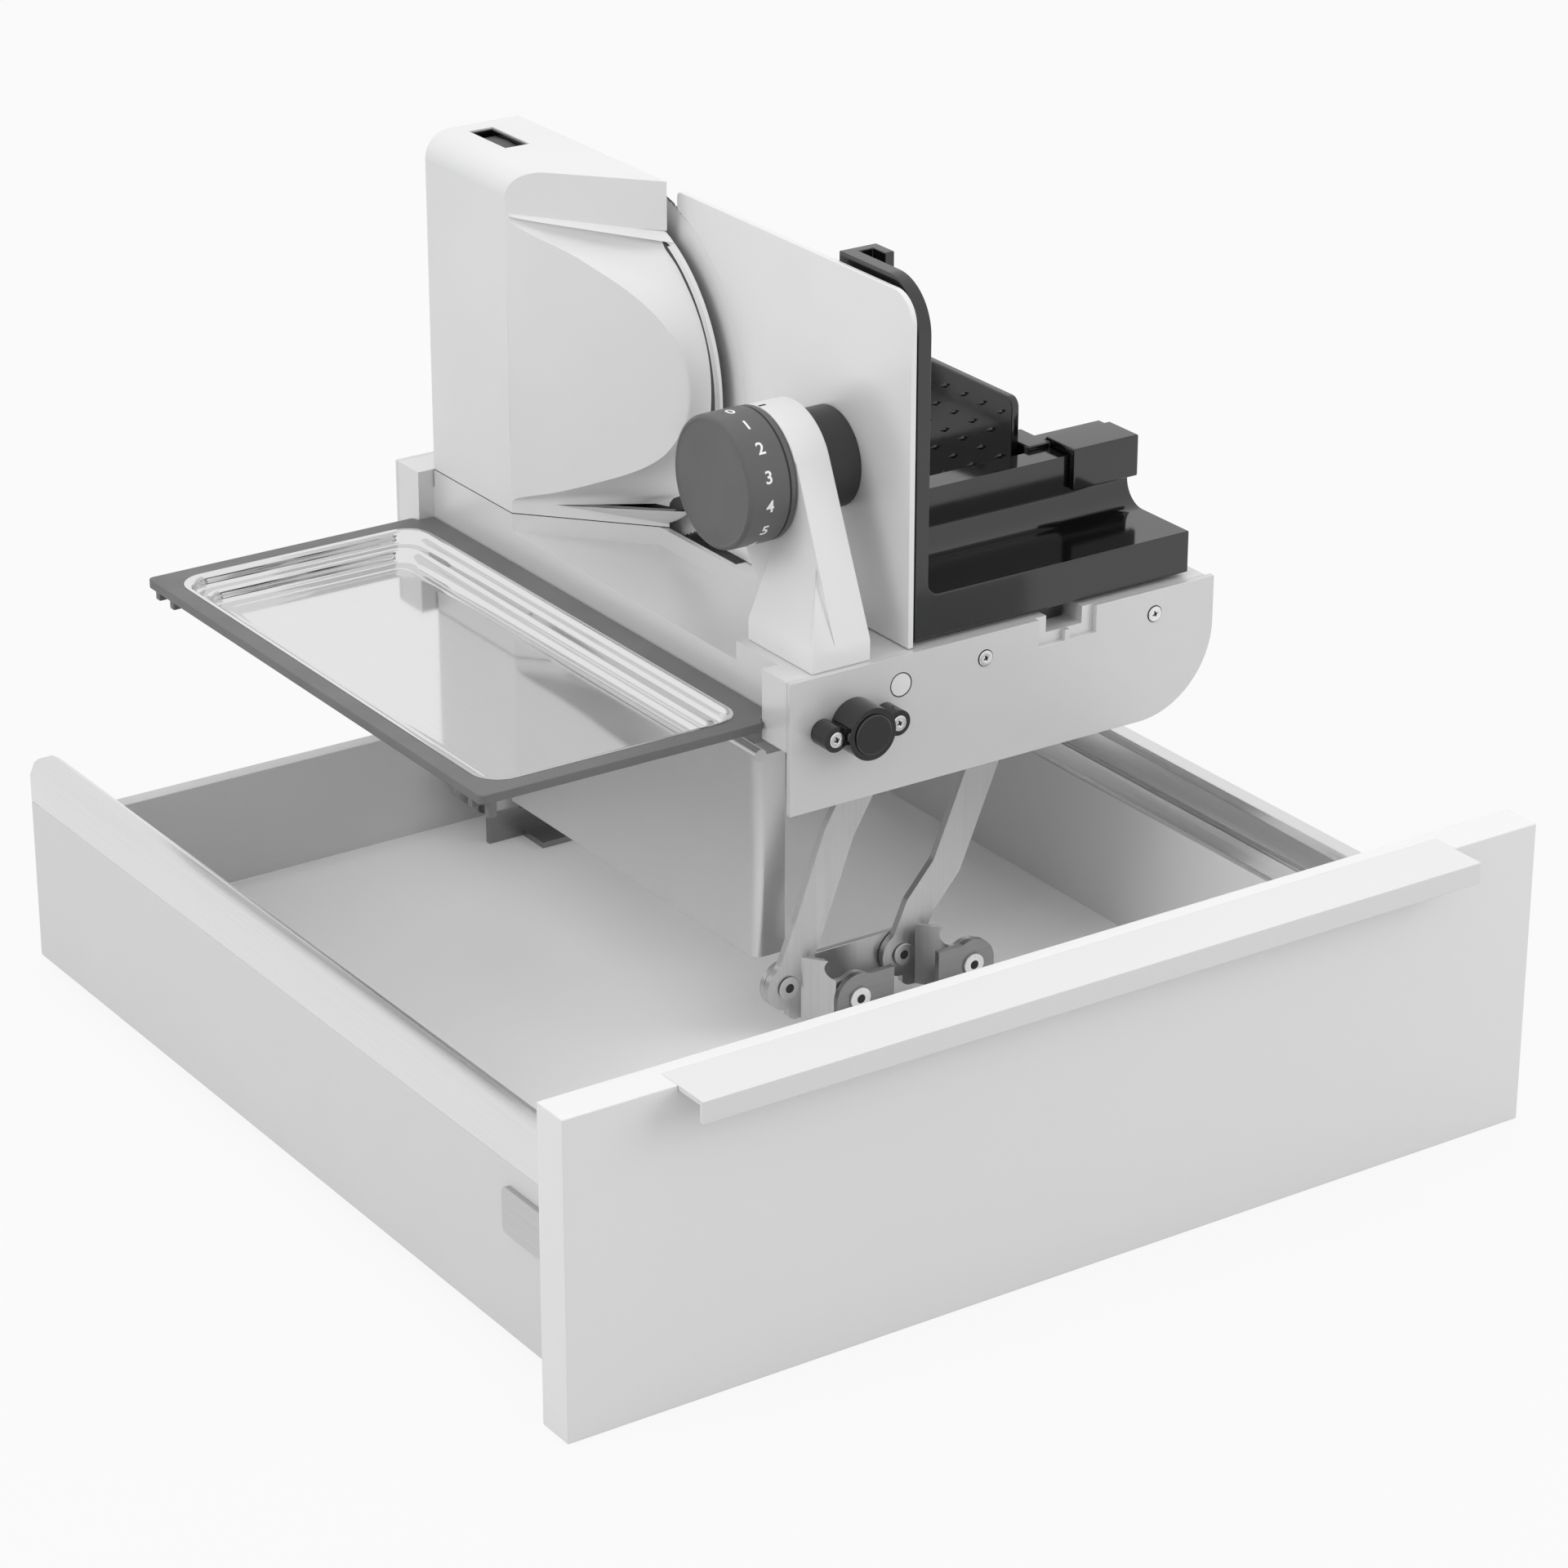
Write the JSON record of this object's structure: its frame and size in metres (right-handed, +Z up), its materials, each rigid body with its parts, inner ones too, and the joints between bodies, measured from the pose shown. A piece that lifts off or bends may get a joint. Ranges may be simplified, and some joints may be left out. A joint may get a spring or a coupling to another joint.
{
  "type": "built-in food slicer",
  "caption": "Electric food slicer with a round blade, thickness dial and sliding carriage, on swing arms inside a kitchen drawer with a slice tray.",
  "frame": {"origin": "middle of the drawer's length and width, at the height of the front panel's lower edge", "axes": "+X to the right seen from the drawer front, +Y into the cabinet, +Z up"},
  "size_m": [0.496, 0.5462, 0.372],
  "materials": {
    "front_lacquer": "smooth light grey lacquer on board",
    "pull_steel": "brushed, lengthwise",
    "side_white": "white powder coat",
    "rail_steel": "bright, brushed lengthwise",
    "floor_board": "smooth white board",
    "back_board": "smooth white board",
    "clip_steel": "satin",
    "bracket_steel": "satin sheet steel",
    "pin_steel": "turned",
    "screw_steel": "zinc plated",
    "arm_steel": "brushed flat bar",
    "deck_paint": "satin silver paint on cast metal",
    "side_plate_paint": "satin silver paint",
    "skirt_steel": "bright, brushed",
    "black_gloss": "glossy black",
    "spring_steel": "drawn wire",
    "housing_paint": "satin silver paint on cast metal",
    "dark_plastic": "matt dark grey",
    "motor_steel": "zinc plated",
    "worm_steel": "ground",
    "wheel_plastic": "moulded",
    "blade_steel": "ground bright",
    "dial_plastic": "fine-grained dark grey",
    "stop_steel": "satin silver",
    "pan_steel": "mirror polished"
  },
  "bodies": {
    "drawer": {"front_panel": "front_lacquer", "front_pull": "pull_steel", "side_left": "side_white", "side_right": "side_white", "cap_left": "rail_steel", "cap_right": "rail_steel", "drawer_floor": "floor_board", "drawer_back": "back_board", "front_clips": "clip_steel", "base_front": "bracket_steel", "base_rear": "bracket_steel", "base_pins": "pin_steel", "floor_screws": "screw_steel"},
    "arm_fl": {"arm_front_left": "arm_steel"},
    "arm_fr": {"arm_front_right": "arm_steel"},
    "arm_rl": {"arm_rear_left": "arm_steel"},
    "arm_rr": {"arm_rear_right": "arm_steel"},
    "link_f": {"link_front": "arm_steel"},
    "link_r": {"link_rear": "arm_steel"},
    "slicer": {"deck": "deck_paint", "plate_front": "side_plate_paint", "plate_rear": "side_plate_paint", "cheeks": "arm_steel", "upper_pins": "pin_steel", "skirt": "skirt_steel", "plate_screws": "screw_steel", "fold_pins": "pin_steel", "release_case": "black_gloss", "case_screws": "screw_steel", "release_spring": "spring_steel", "tower": "housing_paint", "inner_cover": "dark_plastic", "switch_bezel": "black_gloss", "motor": "motor_steel", "blade_bearing": "dark_plastic", "upright_arm": "housing_paint", "cord_gland": "dark_plastic"},
    "button": {"release_button": "black_gloss"},
    "rocker": {"switch_rocker": "dark_plastic"},
    "worm": {"worm": "worm_steel"},
    "blade": {"drive_wheel": "wheel_plastic", "blade": "blade_steel"},
    "dial": {"dial": "dial_plastic", "dial_spindle": "pin_steel"},
    "stop": {"stop_guide": "dark_plastic", "stop_plate": "stop_steel"},
    "carriage": {"carriage": "black_gloss"},
    "pusher": {"pusher_plate": "black_gloss", "pusher_grip": "black_gloss"},
    "tray": {"tray_frame": "black_gloss", "tray_pan": "pan_steel"}
  },
  "joints": [
    {"name": "lift", "type": "hinge", "parent": "drawer", "child": "arm_fl", "pos_m": [0.0282, -0.0409, 0.0397], "axis": [0, 1, 0], "range_deg": [0, 26]},
    {"name": "lift_fr", "type": "hinge", "parent": "drawer", "child": "arm_fr", "pos_m": [0.091, -0.0409, 0.0397], "axis": [0, 1, 0], "range_deg": [0, 26]},
    {"name": "lift_rl", "type": "hinge", "parent": "drawer", "child": "arm_rl", "pos_m": [0.0282, 0.2311, 0.0397], "axis": [0, 1, 0], "range_deg": [0, 26]},
    {"name": "lift_rr", "type": "hinge", "parent": "drawer", "child": "arm_rr", "pos_m": [0.091, 0.2311, 0.0397], "axis": [0, 1, 0], "range_deg": [0, 26]},
    {"name": "link_f_level", "type": "hinge", "parent": "arm_fl", "child": "link_f", "pos_m": [0.0007, -0.0409, 0.0456], "axis": [0, 1, 0], "range_deg": [-26, 0]},
    {"name": "link_r_level", "type": "hinge", "parent": "arm_rl", "child": "link_r", "pos_m": [0.0007, 0.2311, 0.0456], "axis": [0, 1, 0], "range_deg": [-26, 0]},
    {"name": "slicer_level", "type": "hinge", "parent": "arm_fl", "child": "slicer", "pos_m": [0.064, -0.0409, 0.176], "axis": [0, 1, 0], "range_deg": [-26, 0]},
    {"name": "blade_spin", "type": "hinge", "parent": "slicer", "child": "blade", "pos_m": [0.052, 0.15135, 0.2778], "axis": [1, 0, 0], "continuous": true},
    {"name": "worm_spin", "type": "hinge", "parent": "slicer", "child": "worm", "pos_m": [0.026, 0.15135, 0.3073], "axis": [0, 1, 0], "continuous": true},
    {"name": "dial_turn", "type": "hinge", "parent": "slicer", "child": "dial", "pos_m": [-0.0144, -0.00465, 0.2778], "axis": [-1, 0, 0], "range_deg": [0, 300]},
    {"name": "stop_open", "type": "slide", "parent": "slicer", "child": "stop", "axis": [-1, 0, 0], "range_m": [0, 0.012]},
    {"name": "carriage_feed", "type": "slide", "parent": "slicer", "child": "carriage", "axis": [0, 1, 0], "range_m": [0, 0.128]},
    {"name": "pusher_feed", "type": "slide", "parent": "carriage", "child": "pusher", "axis": [-1, 0, 0], "range_m": [0, 0.077]},
    {"name": "tray_pull", "type": "slide", "parent": "slicer", "child": "tray", "axis": [-1, 0, 0], "range_m": [0, 0.15]},
    {"name": "switch_tilt", "type": "hinge", "parent": "slicer", "child": "rocker", "pos_m": [0.0175, 0.22285, 0.3682], "axis": [1, 0, 0], "range_deg": [-8, 8], "stiffness_Nm_per_rad": 0.05},
    {"name": "release_push", "type": "slide", "parent": "slicer", "child": "button", "axis": [0, 1, 0], "range_m": [0, 0.003], "stiffness_N_per_m": 600, "deforming": ["release_spring"]}
  ],
  "couplings": [
    {"joint": "lift_fr", "follows": "lift", "ratio": 1},
    {"joint": "lift_rl", "follows": "lift", "ratio": 1},
    {"joint": "lift_rr", "follows": "lift", "ratio": 1},
    {"joint": "link_f_level", "follows": "lift", "ratio": -1},
    {"joint": "link_r_level", "follows": "lift", "ratio": -1},
    {"joint": "slicer_level", "follows": "lift", "ratio": -1},
    {"joint": "worm_spin", "follows": "blade_spin", "ratio": 30},
    {"joint": "dial_turn", "follows": "stop_open", "rad_per_m": 436.3}
  ]
}
